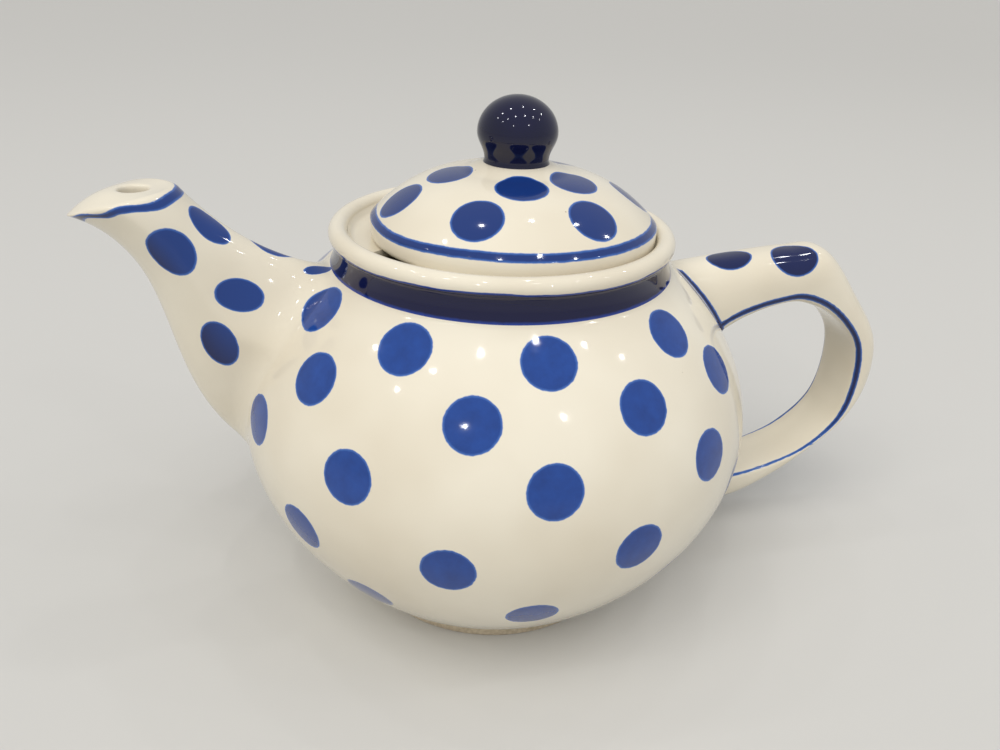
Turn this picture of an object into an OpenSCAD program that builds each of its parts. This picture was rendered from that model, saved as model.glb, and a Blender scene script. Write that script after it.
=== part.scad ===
// Stoneware teapot with a loose lid. Millimetres, Z up, origin on the table under the middle of the pot,
// handle towards +X, spout towards -X.

/* [Body] */
// Diameter of the pot at its widest
belly_d = 150; // [130:1:180]
// Height of the widest place above the table
belly_z = 57; // [50:1:66]
// Diameter of the pot where it meets the collar
neck_d = 96.4; // [88:0.2:104]
// Height of the neck above the table
neck_z = 104; // [96:1:116]
// Thickness of the pot's wall
wall = 5; // [4:0.5:7]
// Thickness of the pot's floor
floor_t = 6; // [5:0.5:9]
// Roundness of the lower half, 2 is a parabola
low_curve = 1.92; // [1.7:0.01:2.3]
// Roundness of the upper half, 2 is a parabola
high_curve = 2.15; // [1.8:0.01:2.5]

/* [Foot ring] */
// Diameter of the foot ring
foot_d = 86; // [76:1:96]
// Height of the foot ring
foot_h = 3; // [2:0.5:5]
// Width of the ring that touches the table
foot_w = 6; // [4:0.5:9]

/* [Collar] */
// Height of the collar, from the neck to the top of its rolled rim
collar_h = 11; // [10:0.5:15]
// Diameter inside the rim, where the lid lies
well_d = 86; // [84:0.5:88]
// Thickness of the rolled rim
rim_t = 5.3; // [4.4:0.1:5.8]
// Depth of the ledge below the top of the rim
well_depth = 4.2; // [3.6:0.2:5]
// Diameter of the opening inside the ledge
ledge_d = 67; // [62:0.5:68]
// How far the outside of the collar draws in below the rim
collar_draw = 0.25; // [0:0.25:1.5]

/* [Lid] */
// Play of the lid all round in the collar
lid_play = 3.3; // [1.5:0.1:3.6]
// Share of that play by which the lid has slid from the middle
lid_slid = 0.92; // [0:0.02:0.92]
// Direction in which it has slid, degrees from the handle
lid_slid_turn = -20; // [-180:5:180]
// Height of the lid's edge below its dome
lid_edge_h = 5.6; // [4.4:0.2:6.4]
// Rise of the dome above the edge
dome_rise = 14.2; // [12:0.2:20]
// Roundness of the dome, 2 is a parabola
dome_curve = 3.1; // [2:0.1:4]
// Thickness of the lid
lid_t = 5; // [4:0.5:6]
// Depth of the locating flange below the ledge
flange_depth = 12; // [8:1:16]
// Thickness of the locating flange
flange_t = 4; // [3:0.5:5]
// Diameter of the steam vent
vent_d = 3; // [2:0.5:4]

/* [Knob] */
// Diameter of the knob
knob_d = 21.8; // [18:0.2:26]
// Diameter of the knob's waist
knob_waist_d = 17.6; // [14:0.2:17.8]
// Height of the knob above the dome
knob_h = 18.4; // [16:0.2:22]

/* [Spout] */
// How far the pouring tip stands out beyond the belly
spout_reach = 36; // [30:1:44]
// Height of the pouring tip above the table
tip_z = 120; // [114:1:130]
// Length of the mouth, from the tip to its back
mouth_l = 26; // [22:1:32]
// Width of the mouth
mouth_w = 26.5; // [22:0.5:32]
// Height of the mouth's back above the tip
mouth_rise = 6; // [3:0.5:9]
// Width of the spout at its narrowest
spout_w = 23; // [20:1:28]
// Width of the spout at the pot
spout_root_w = 30; // [26:1:36]
// Height of the spout's lowest joint with the pot
spout_root_z = 51; // [44:1:58]
// Thickness of the spout's wall
spout_wall = 5; // [4:0.5:6]
// Diameter of the hole in the mouth
bore_d = 7; // [6:0.5:9]
// Diameter of each strainer hole
strainer_d = 4.5; // [3.5:0.5:5.5]
// Distance between strainer holes
strainer_pitch = 7; // [6.5:0.5:9]

/* [Handle] */
// How far the inside of the handle stands out beyond the belly
handle_room = 47; // [40:1:60]
// Width of the handle's strap
handle_w = 20; // [16:1:26]
// Thickness of the strap at its outermost place
handle_t = 11.5; // [9:0.5:15]
// Thickness of the strap on top, at the thumb
thumb_t = 16; // [12:0.5:19]
// Height of the inside of the arch above the table
arch_z = 88; // [84:1:94]
// Height of the strap's underside at its lower joint
handle_foot_z = 12; // [8:1:20]

/* [Hidden] */
$fn = 96;
cream = "#E6DFCD";
cobalt = "#27408F";
navy = "#141A45";
// points along each half of a thrown profile
steps = 24;
belly_r = belly_d / 2;
neck_r = neck_d / 2;
foot_r = foot_d / 2;
well_r = well_d / 2;
ledge_r = ledge_d / 2;
rim_z = neck_z + collar_h;
ledge_z = rim_z - well_depth;
lid_r = well_r - lid_play;
// how much looser the locating flange is in the ledge than the lid's edge is in the rim
flange_ease = 0.4;
flange_r = ledge_r - lid_play - flange_ease;
dome_z = ledge_z + lid_edge_h;
lid_slide = lid_play * lid_slid;
knob_base_r = knob_waist_d / 2 + 0.3;
knob_seat_z = dome_at(knob_base_r);
ring_points = 40;

// Outside radius of the pot at a height
function pot_r(z) = z < belly_z
    ? belly_r - (belly_r - foot_r) * pow((belly_z - z) / (belly_z - foot_h), low_curve)
    : belly_r - (belly_r - neck_r) * pow((z - belly_z) / (neck_z - belly_z), high_curve);
// Height of the lid's outside at a radius
function dome_at(r) = dome_z + dome_rise * (1 - pow(r / lid_r, dome_curve));
// A number raised to a power with its sign kept
function signed_pow(a, p) = sign(a) * pow(abs(a), p);
// Point on a cubic curve
function bezier(p, t) = pow(1 - t, 3) * p[0] + 3 * t * pow(1 - t, 2) * p[1]
    + 3 * t * t * (1 - t) * p[2] + pow(t, 3) * p[3];
// Point on a smooth line that passes through every point of a list, t from 0 to 1
function through(p, t) =
    let (n = len(p) - 1, i = min(n - 1, floor(t * n)), u = t * n - i, a = p[max(0, i - 1)], b = p[i],
        c = p[i + 1], d = p[min(n, i + 2)])
    b + (c - a) * u / 2 + (2 * a - 5 * b + 4 * c - d) * u * u / 2 + (3 * b - a - 3 * c + d) * u * u * u / 2;
// Value that runs from a to b as t runs from 0 to 1
function mix(a, b, t) = a + (b - a) * t;
// Smooth step from 0 at a to 1 at b
function ease(a, b, t) = let (u = min(1, max(0, (t - a) / (b - a)))) u * u * (3 - 2 * u);

// Closed skin over rings of points, with a point in the middle of each end
module skin(rings, first, last) {
    n = len(rings[0]);
    k = len(rings);
    polyhedron(
        points = concat([for (ring = rings) each ring], [first, last]),
        faces = concat(
            [for (i = [0 : k - 2], j = [0 : n - 1]) [i * n + j, i * n + (j + 1) % n, (i + 1) * n + j]],
            [for (i = [0 : k - 2], j = [0 : n - 1])
                [i * n + (j + 1) % n, (i + 1) * n + (j + 1) % n, (i + 1) * n + j]],
            [for (j = [0 : n - 1]) [(j + 1) % n, j, k * n]],
            [for (j = [0 : n - 1]) [(k - 1) * n + j, (k - 1) * n + (j + 1) % n, k * n + 1]]));
}

// ---- Pot: thrown wall, drilled through as a strainer behind the spout ----

pot_profile = concat(
    [[0, foot_h], [foot_r, foot_h]],
    [for (i = [1 : 2 * steps]) let (z = mix(foot_h, neck_z, i / (2 * steps))) [pot_r(z), z]]);
inner_floor_z = foot_h + floor_t;
// Inside radius of the pot: the outside skin moved in by the wall, square to its slope
function inner_r(z) = let (slope = (pot_r(min(neck_z, z + 0.5)) - pot_r(max(foot_h, z - 0.5)))
    / (min(neck_z, z + 0.5) - max(foot_h, z - 0.5))) pot_r(z) - wall * sqrt(1 + slope * slope);

module pot_outside() {
    rotate_extrude() polygon(concat(pot_profile, [[0, neck_z]]));
}

module body() {
    color(cream) difference() {
        rotate_extrude() polygon(concat(pot_profile,
            [for (i = [0 : 2 * steps]) let (z = mix(neck_z, inner_floor_z, i / (2 * steps))) [inner_r(z), z]],
            [[0, inner_floor_z]]));
        strainer_holes();
    }
}

// Rows of one and two holes in turn, set close within the height of the spout's hollow
module strainer_holes() {
    row_pitch = strainer_pitch * sin(60);
    rows = floor((strainer_h - strainer_d) / row_pitch);
    drill_l = belly_r - inner_r(neck_z) + 1;
    for (row = [0 : rows]) {
        z = strainer_z + (row - rows / 2) * row_pitch;
        count = row % 2 == 0 ? 1 : 2;
        for (k = [0 : count - 1]) {
            translate([-belly_r, (k - (count - 1) / 2) * strainer_pitch, z])
                rotate([0, 90, 0]) cylinder(d = strainer_d, h = drill_l, $fn = 24);
        }
    }
}

// ---- Foot ring ----

module foot_ring() {
    edge = 0.8;
    color(cream) rotate_extrude() polygon([
        [foot_r - foot_w, foot_h], [foot_r - foot_w, edge], [foot_r - foot_w + edge, 0],
        [foot_r - edge, 0], [foot_r, edge], [foot_r, foot_h]]);
}

// ---- Collar: outside band, rolled rim and the ledge that carries the lid ----

module collar() {
    rim_r = rim_t / 2;
    rim_mid = well_r + rim_r;
    band_r = rim_mid + rim_r * 0.6 - collar_draw;
    band_top = rim_z - rim_r * 1.9;
    color(cobalt) rotate_extrude() polygon(concat(
        [[ledge_r, ledge_z], [ledge_r, neck_z + 2], [ledge_r + 2, neck_z], [neck_r, neck_z]],
        [for (i = [1 : 6]) bezier([[neck_r, neck_z], [band_r, neck_z + 2], [band_r, band_top - 1],
            [band_r + collar_draw, band_top]], i / 6)],
        [for (a = [-36 : 12 : 180]) [rim_mid + rim_r * cos(a), rim_z - rim_r + rim_r * sin(a)]],
        [[well_r, ledge_z]]));
}

// ---- Spout: a tapering hollow with a ridge along each side and a beaked mouth ----

tip_x = -belly_r - spout_reach;
// line along the top of the spout, in X and Z, from inside the pot's shoulder to the back of the mouth
spout_top = [[-neck_r + 3, neck_z - 1], [-neck_r - 12, neck_z + 1],
    [tip_x + mouth_l + 10, tip_z + mouth_rise - 12.4], [tip_x + mouth_l, tip_z + mouth_rise]];
// line along its underside, from inside the pot to the tip
spout_under = [[-belly_r + 12, spout_root_z - 9], [-belly_r - 29, spout_root_z + 14],
    [tip_x + 31, tip_z - 11], [tip_x, tip_z]];
// middle and height of the part of the pot's wall that lies behind the hollow
strainer_z = mix(spout_root_z, neck_z, 0.57);
strainer_h = (neck_z - spout_root_z) * 0.57;
// share of its width that the mouth loses at the tip, and how far its middle stands up
beak_draw = 0.32;
mouth_arch = 1.6;
// 2 makes an oval section and less draws out the ridge along each side
side_ridge = 1.5;
// share of half the section's height by which the ridge has climbed where the spout meets the pot
ridge_climb = 0.3;

function spout_half_w(t) = t < 0.7
    ? mix(spout_root_w, spout_w, ease(0, 0.55, t)) / 2
    : mix(spout_w, mouth_w, ease(0.7, 1, t)) / 2;
// The mouth narrows to a beak towards its tip and its middle stands above the line from tip to back
function beak(t, s) = 1 - beak_draw * ease(0.8, 1, t) * pow((1 - s) / 2, 3);
function arch(t, s) = mouth_arch * ease(0.75, 1, t) * (1 - s * s);

// One section of the spout, t runs from 0 at the pot to 1 at the mouth
function spout_ring(t) =
    let (top = bezier(spout_top, t), under = bezier(spout_under, t), mid = (top + under) / 2,
        half = (top - under) / 2, w = spout_half_w(t), up = ridge_climb * (1 - ease(0.05, 0.45, t)))
    [for (j = [0 : ring_points - 1]) let (a = 360 * j / ring_points, s = up + sin(a) * (1 - up * sign(sin(a))),
        c = sign(cos(a)) * sqrt(max(0, 1 - pow(abs(sin(a)), side_ridge))))
        [mid[0] + half[0] * s, w * c * beak(t, s), mid[1] + half[1] * s + arch(t, s)]];

// Section of the hollow, which narrows and turns upright into the round hole of the mouth. The sections
// lie aslant, so the wall is longer in them than it is thick.
hole_x = tip_x + mouth_l * 0.62;
hole_z = tip_z - 5;
hollow_end = 0.85;
slant = 1.2;
function hollow_ring(t) =
    let (top = bezier(spout_top, t * hollow_end), under = bezier(spout_under, t * hollow_end),
        half = (top - under) / 2, turn = ease(0.55, 1, t), narrow = ease(0.5, 1, t),
        mid = mix((top + under) / 2, [hole_x, hole_z], turn), up = mix(half / norm(half), [1, 0], turn),
        h = mix(norm(half) - spout_wall * slant, bore_d / 2, narrow),
        w = mix(spout_half_w(t * hollow_end) - spout_wall, bore_d / 2, narrow))
    [for (j = [0 : ring_points / 2 - 1]) let (a = 720 * j / ring_points)
        [mid[0] + up[0] * h * sin(a), w * cos(a), mid[1] + up[1] * h * sin(a)]];

// The lip rolls over from the mouth's edge towards the hole
mouth_z = tip_z + mouth_rise * 0.62 + mouth_arch;
lip_roll = 1.4;
function lip_ring(u) = let (edge = spout_ring(1), middle = [hole_x, 0, mouth_z])
    [for (p = edge) let (q = mix(p, middle, u)) [q[0], q[1], q[2] + lip_roll * sin(180 * sqrt(u))]];

spout_start = (spout_top[0] + spout_under[0]) / 2;

module spout_outside() {
    rings = 28;
    skin(concat([for (i = [0 : rings]) spout_ring(i / rings)],
            [for (u = [0.08, 0.22, 0.4, 0.6]) lip_ring(u)]),
        [spout_start[0], 0, spout_start[1]], [hole_x, 0, mouth_z]);
}

module spout_hollow() {
    rings = 20;
    above = mouth_z + mouth_rise;
    hole = [for (p = hollow_ring(1)) [p[0], p[1], above]];
    skin(concat([for (i = [0 : rings]) hollow_ring(i / rings)], [hole]),
        [spout_start[0], 0, spout_start[1]], [hole_x, 0, above]);
}

module spout() {
    color(cream) difference() {
        spout_outside();
        pot_outside();
        spout_hollow();
    }
}

// ---- Handle: a strap, flat inside and round outside, with a thumb rest on its shoulder ----

handle_x = belly_r + handle_room;
handle_mid_z = mix(handle_foot_z, arch_z, 0.58);
// inside face of the strap in X and Z, from its upper joint with the pot round to its lower one
grip = [[belly_r - 21, arch_z - 24], [belly_r - 3, arch_z - 6.5], [belly_r + 15, arch_z],
    [handle_x - 20, arch_z - 1.5], [handle_x - 9, arch_z - 8], [handle_x - 2, arch_z - 18],
    [handle_x, handle_mid_z], [handle_x - 2.5, handle_mid_z - 13], [handle_x - 12, handle_foot_z + 21],
    [handle_x - 24, handle_foot_z + 16], [belly_r + 9, handle_foot_z + 13],
    [belly_r - 9, handle_foot_z + 12], [belly_r - 23, handle_foot_z + 12.5]];
// outside of the strap, point for point with the inside; the fourth point is the thumb rest
back = [[belly_r - 31, arch_z + thumb_t - 7], [belly_r - 5, arch_z + thumb_t - 3.8],
    [belly_r + 18, arch_z + thumb_t - 1], [handle_x - 16, arch_z + thumb_t - 1.1],
    [handle_x - 4.6, arch_z - 1.7], [handle_x + handle_t - 4.1, arch_z - 16.5],
    [handle_x + handle_t - 1.5, handle_mid_z], [handle_x + handle_t - 7.8, handle_mid_z - 13.5],
    [handle_x + handle_t - 20.5, handle_foot_z + 20], [handle_x + handle_t - 32, handle_foot_z + 9.2],
    [belly_r + 11, handle_foot_z + 1.5], [belly_r - 10, handle_foot_z - 0.5],
    [belly_r - 27, handle_foot_z + 2]];

// share of the strap's thickness at which it is widest; small powers square the corners off below it
strap_widest = 0.3;
corner = 0.45;
strap_points = 24;

// One section of the strap, flat across its inside with a rounded back
function strap_ring(t) =
    let (inside = through(grip, t), outside = through(back, t))
    [for (j = [0 : strap_points - 1]) let (a = -360 * j / strap_points, s = sin(a), c = cos(a),
        depth = s < 0 ? strap_widest * (1 - pow(-s, corner)) : mix(strap_widest, 1, pow(s, 0.85)),
        w = handle_w / 2 * signed_pow(c, s < 0 ? corner : 0.8), q = mix(inside, outside, depth))
        [q[0], w, q[1]]];

module handle() {
    sections = 60;
    rings = [for (i = [0 : sections]) strap_ring(i / sections)];
    first = (grip[0] + back[0]) / 2;
    last = (grip[len(grip) - 1] + back[len(back) - 1]) / 2;
    color(cream) difference() {
        skin(rings, [first[0], 0, first[1]], [last[0], 0, last[1]]);
        pot_outside();
    }
}

// ---- Lid ----

module at_lid() {
    rotate([0, 0, lid_slid_turn]) translate([lid_slide, 0, 0]) children();
}

module lid() {
    edge = 1.6;
    vent_r = lid_r * 0.45;
    vent_turn = 110;
    dome = [for (i = [0 : steps]) let (r = mix(lid_r, knob_base_r, i / steps)) [r, dome_at(r)]];
    hollow_r = flange_r - flange_t;
    under = [for (i = [0 : steps]) let (r = mix(0, hollow_r, i / steps)) [r, dome_at(r) - lid_t]];
    color(cream) at_lid() difference() {
        rotate_extrude() polygon(concat(
            [[hollow_r, ledge_z], [lid_r - edge, ledge_z]],
            [for (a = [-60 : 30 : 0]) [lid_r - edge + edge * cos(a), ledge_z + edge + edge * sin(a)]],
            dome, [[0, knob_seat_z]], under));
        rotate([0, 0, vent_turn]) translate([vent_r, 0, ledge_z])
            cylinder(d = vent_d, h = dome_rise + lid_edge_h + 1, $fn = 24);
    }
}

// Ring under the lid that keeps it from tipping out when the pot pours
module lid_flange() {
    edge = 1;
    hollow_r = flange_r - flange_t;
    end_z = ledge_z - flange_depth;
    color(cream) at_lid() rotate_extrude() polygon([
        [flange_r, ledge_z], [hollow_r, ledge_z], [hollow_r, end_z + edge], [hollow_r + edge, end_z],
        [flange_r - edge, end_z], [flange_r, end_z + edge]]);
}

// ---- Knob ----

module knob() {
    knob_r = knob_d / 2;
    waist_r = knob_waist_d / 2;
    waist_z = knob_seat_z + 1;
    top_h = knob_r * 0.88;
    ball_z = knob_seat_z + knob_h - top_h;
    color(navy) at_lid() rotate_extrude() polygon(concat(
        [[0, knob_seat_z], [knob_base_r, knob_seat_z]],
        [for (u = [0 : 0.1 : 1.01])
            [mix(waist_r, knob_r, 0.5 - 0.5 * cos(180 * u)), mix(waist_z, ball_z, u)]],
        [for (a = [9 : 9 : 81]) [knob_r * cos(a), ball_z + top_h * sin(a)]],
        [[0, knob_seat_z + knob_h]]));
}

body();
foot_ring();
collar();
spout();
handle();
lid();
lid_flange();
knob();
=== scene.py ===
import math

import bpy
import numpy as np
from mathutils import Matrix, Vector, kdtree


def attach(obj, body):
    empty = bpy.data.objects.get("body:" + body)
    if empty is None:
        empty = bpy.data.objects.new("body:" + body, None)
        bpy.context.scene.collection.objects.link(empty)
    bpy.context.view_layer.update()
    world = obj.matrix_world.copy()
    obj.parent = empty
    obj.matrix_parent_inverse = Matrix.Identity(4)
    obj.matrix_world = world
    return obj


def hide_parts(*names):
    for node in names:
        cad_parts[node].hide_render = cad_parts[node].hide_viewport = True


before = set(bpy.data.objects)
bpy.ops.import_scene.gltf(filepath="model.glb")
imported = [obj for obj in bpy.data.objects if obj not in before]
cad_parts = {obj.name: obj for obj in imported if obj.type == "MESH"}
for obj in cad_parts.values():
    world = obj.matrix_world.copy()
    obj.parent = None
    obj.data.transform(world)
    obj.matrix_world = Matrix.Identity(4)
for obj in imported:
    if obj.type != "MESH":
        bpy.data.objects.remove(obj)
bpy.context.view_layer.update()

# ---- Pot ----
# Stoneware thrown on the wheel: one wall that swells to a low belly and closes in to the neck, under a
# warm cream glaze. Before that glaze went on, round sponges dabbed it with cobalt in staggered rows.
# The wall behind the spout is drilled as a strainer.

mm = 0.001
belly_r, belly_z = 74.97 * mm, 57 * mm
neck_r, neck_z = 48.2 * mm, 104 * mm
foot_r, foot_h = 43 * mm, 3 * mm
wall, floor_t = 5 * mm, 6 * mm
low_curve, high_curve = 1.92, 2.15


def pot_r(z):
    """Outside radius of the pot at a height."""
    low = np.clip((belly_z - z) / (belly_z - foot_h), 0, None) ** low_curve
    high = np.clip((z - belly_z) / (neck_z - belly_z), 0, None) ** high_curve
    return belly_r - (belly_r - foot_r) * low - (belly_r - neck_r) * high


def pot_slope(z):
    """How fast that radius grows with height."""
    step = 0.05 * mm
    return (pot_r(z + step) - pot_r(z - step)) / (2 * step)


def unit(v):
    return v / np.linalg.norm(v, axis=-1, keepdims=True)


def pot_normal(p):
    """Direction square to the pot's wall, outwards, at points on it."""
    out = unit(p * [1, 1, 0])
    return unit(out - pot_slope(p[..., 2])[..., None] * [0, 0, 1])


def onto_pot(p):
    """Points moved square to the wall until they lie on it."""
    for _ in range(6):
        gap = np.hypot(p[..., 0], p[..., 1]) - pot_r(p[..., 2])
        p = p - pot_normal(p) * (gap / np.sqrt(1 + pot_slope(p[..., 2]) ** 2))[..., None]
    return p


def spaced(line, count):
    """A line's points, moved along it until they are evenly spaced."""
    steps = np.linalg.norm(np.diff(line, axis=0), axis=-1)
    run = np.concatenate([[0], np.cumsum(steps)])
    at = np.linspace(0, run[-1], count)
    return np.stack([np.interp(at, run, line[:, i]) for i in range(line.shape[1])], axis=-1)


def add(tree, kind, inputs=None, **settings):
    """Adds a node to a tree with its settings, and its inputs as values or links."""
    node = tree.nodes.new(kind)
    for name, value in settings.items():
        setattr(node, name, value)
    for name, value in (inputs or {}).items():
        if isinstance(value, bpy.types.NodeSocket):
            tree.links.new(value, node.inputs[name])
        else:
            node.inputs[name].default_value = value
    return node


def new_tree(name, sizes):
    """A geometry tree with a piece going in and coming out, and named inputs for its sizes."""
    tree = bpy.data.node_groups.new(name, "GeometryNodeTree")
    tree.interface.new_socket("Piece", in_out="INPUT", socket_type="NodeSocketGeometry")
    for label, kind in sizes.items():
        tree.interface.new_socket(label, in_out="INPUT", socket_type="NodeSocket" + kind)
    tree.interface.new_socket("Piece", in_out="OUTPUT", socket_type="NodeSocketGeometry")
    return tree, add(tree, "NodeGroupInput").outputs


# faces that meet at more than this show a crisp edge
sharp_turn = math.radians(45)


def worked(piece, tree, sizes):
    """Runs a geometry tree on a piece once and keeps the plain mesh that comes out."""
    step = piece.modifiers.new(tree.name, "NODES")
    step.node_group = tree
    for socket in tree.interface.items_tree:
        if socket.in_out == "INPUT" and socket.name in sizes:
            step[socket.identifier] = sizes[socket.name]
    graph = bpy.context.evaluated_depsgraph_get()
    done = bpy.data.meshes.new_from_object(
        piece.evaluated_get(graph), preserve_all_data_layers=True, depsgraph=graph)
    piece.modifiers.remove(step)
    piece.data = done
    done.name = piece.name
    done.set_sharp_from_angle(angle=sharp_turn)
    return piece


def put(name, points, faces, glaze):
    """A new piece in the scene, smooth, in one glaze."""
    mesh = bpy.data.meshes.new(name)
    mesh.from_pydata(np.asarray(points, float).tolist(), [], faces)
    mesh.shade_smooth()
    mesh.materials.append(glaze)
    piece = bpy.data.objects.new(name, mesh)
    bpy.context.scene.collection.objects.link(piece)
    return piece


# The wheel: a grid with a column for each place round the pot and a row for each point of the profile,
# bent round until its two sides meet. Points closer than the weld become one.
weld = 0.002 * mm
wheel, given = new_tree("wheel", {"Points round": "Int", "Glaze": "Material"})
rows = add(wheel, "GeometryNodeAttributeDomainSize", {0: given["Piece"]}, component="MESH")
rows = rows.outputs["Point Count"]
columns = add(wheel, "ShaderNodeMath", {0: given["Points round"], 1: 1.0}, operation="ADD").outputs[0]
clay = add(wheel, "GeometryNodeMeshGrid",
           {"Size X": 1.0, "Size Y": 1.0, "Vertices X": columns, "Vertices Y": rows})
place = add(wheel, "GeometryNodeInputPosition").outputs[0]
on_grid = add(wheel, "ShaderNodeSeparateXYZ", {0: place}).outputs
turn = add(wheel, "ShaderNodeMath", {0: on_grid["X"], 1: math.tau, 2: math.pi},
           operation="MULTIPLY_ADD").outputs[0]
last_row = add(wheel, "ShaderNodeMath", {0: rows, 1: 1.0}, operation="SUBTRACT").outputs[0]
up_profile = add(wheel, "ShaderNodeMath", {0: on_grid["Y"], 1: 0.5}, operation="ADD").outputs[0]
row = add(wheel, "ShaderNodeMath", {0: up_profile, 1: last_row}, operation="MULTIPLY").outputs[0]
row = add(wheel, "ShaderNodeMath", {0: row}, operation="ROUND").outputs[0]
point = add(wheel, "GeometryNodeSampleIndex", {"Geometry": given["Piece"], "Value": place, "Index": row},
            data_type="FLOAT_VECTOR").outputs[0]
point = add(wheel, "ShaderNodeSeparateXYZ", {0: point}).outputs
cosine = add(wheel, "ShaderNodeMath", {0: turn}, operation="COSINE").outputs[0]
sine = add(wheel, "ShaderNodeMath", {0: turn}, operation="SINE").outputs[0]
x = add(wheel, "ShaderNodeMath", {0: point["X"], 1: cosine}, operation="MULTIPLY").outputs[0]
y = add(wheel, "ShaderNodeMath", {0: point["X"], 1: sine}, operation="MULTIPLY").outputs[0]
bent = add(wheel, "ShaderNodeCombineXYZ", {0: x, 1: y, 2: point["Z"]}).outputs[0]
clay = add(wheel, "GeometryNodeSetPosition", {"Geometry": clay.outputs["Mesh"], "Position": bent}).outputs[0]
clay = add(wheel, "GeometryNodeMergeByDistance", {"Geometry": clay, "Distance": weld}).outputs[0]
clay = add(wheel, "GeometryNodeRealizeInstances", {0: clay}).outputs[0]
clay = add(wheel, "GeometryNodeSetMaterial", {"Geometry": clay, "Material": given["Glaze"]}).outputs[0]
add(wheel, "NodeGroupOutput", {0: clay})


def thrown(name, profile, glaze, points_round=256):
    """A piece turned from a profile of radius and height, listed so that it rises on the outside."""
    profile = np.asarray(profile)
    points = np.stack([profile[:, 0], 0 * profile[:, 0], profile[:, 1]], axis=-1)
    piece = put(name, points, [], glaze)
    return worked(piece, wheel, {"Points round": points_round, "Glaze": glaze})


def points_of(piece):
    """A piece's points as rows of three numbers."""
    flat = np.empty(len(piece.data.vertices) * 3, np.float32)
    piece.data.vertices.foreach_get("co", flat)
    return flat.reshape(-1, 3).astype(float)


# what a point holds for paint that comes nowhere near it
unpainted = -5 * mm


def painted(piece, dabs=(), line=unpainted, load=0.0, hollow=None):
    """Gives each point how far inside a sponged dab and how far inside a brushed line it lies, and how
    loaded the brush was there. A dab is a point, a radius, a narrower radius and the direction of it.
    Faces turned towards the hollow, where one is given, are glazed plain."""
    at = points_of(piece)
    dab = np.full(len(at), unpainted)
    for *middle, long, short, narrow in dabs:
        away = at - middle
        squeezed = (away @ unit(np.array(narrow))) ** 2 * ((long / short) ** 2 - 1)
        dab = np.maximum(dab, long - np.sqrt(np.sum(away ** 2, axis=1) + squeezed))
    if hollow is not None:
        facing = np.empty(at.size, np.float32)
        piece.data.vertex_normals.foreach_get("vector", facing)
        dab[np.sum(facing.reshape(-1, 3) * (at - hollow), axis=1) < 0] = unpainted
    for name, value in (("dab", dab), ("line", line), ("load", load)):
        layer = piece.data.attributes.new(name, "FLOAT", "POINT")
        layer.data.foreach_set("value", np.array(np.broadcast_to(value, len(at)), np.float32))


def colour(code):
    """The linear colour of an sRGB hex value."""
    shares = [int(code[i:i + 2], 16) / 255 for i in (1, 3, 5)]
    return [c / 12.92 if c <= 0.04045 else ((c + 0.055) / 1.055) ** 2.4 for c in shares] + [1.0]


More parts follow.
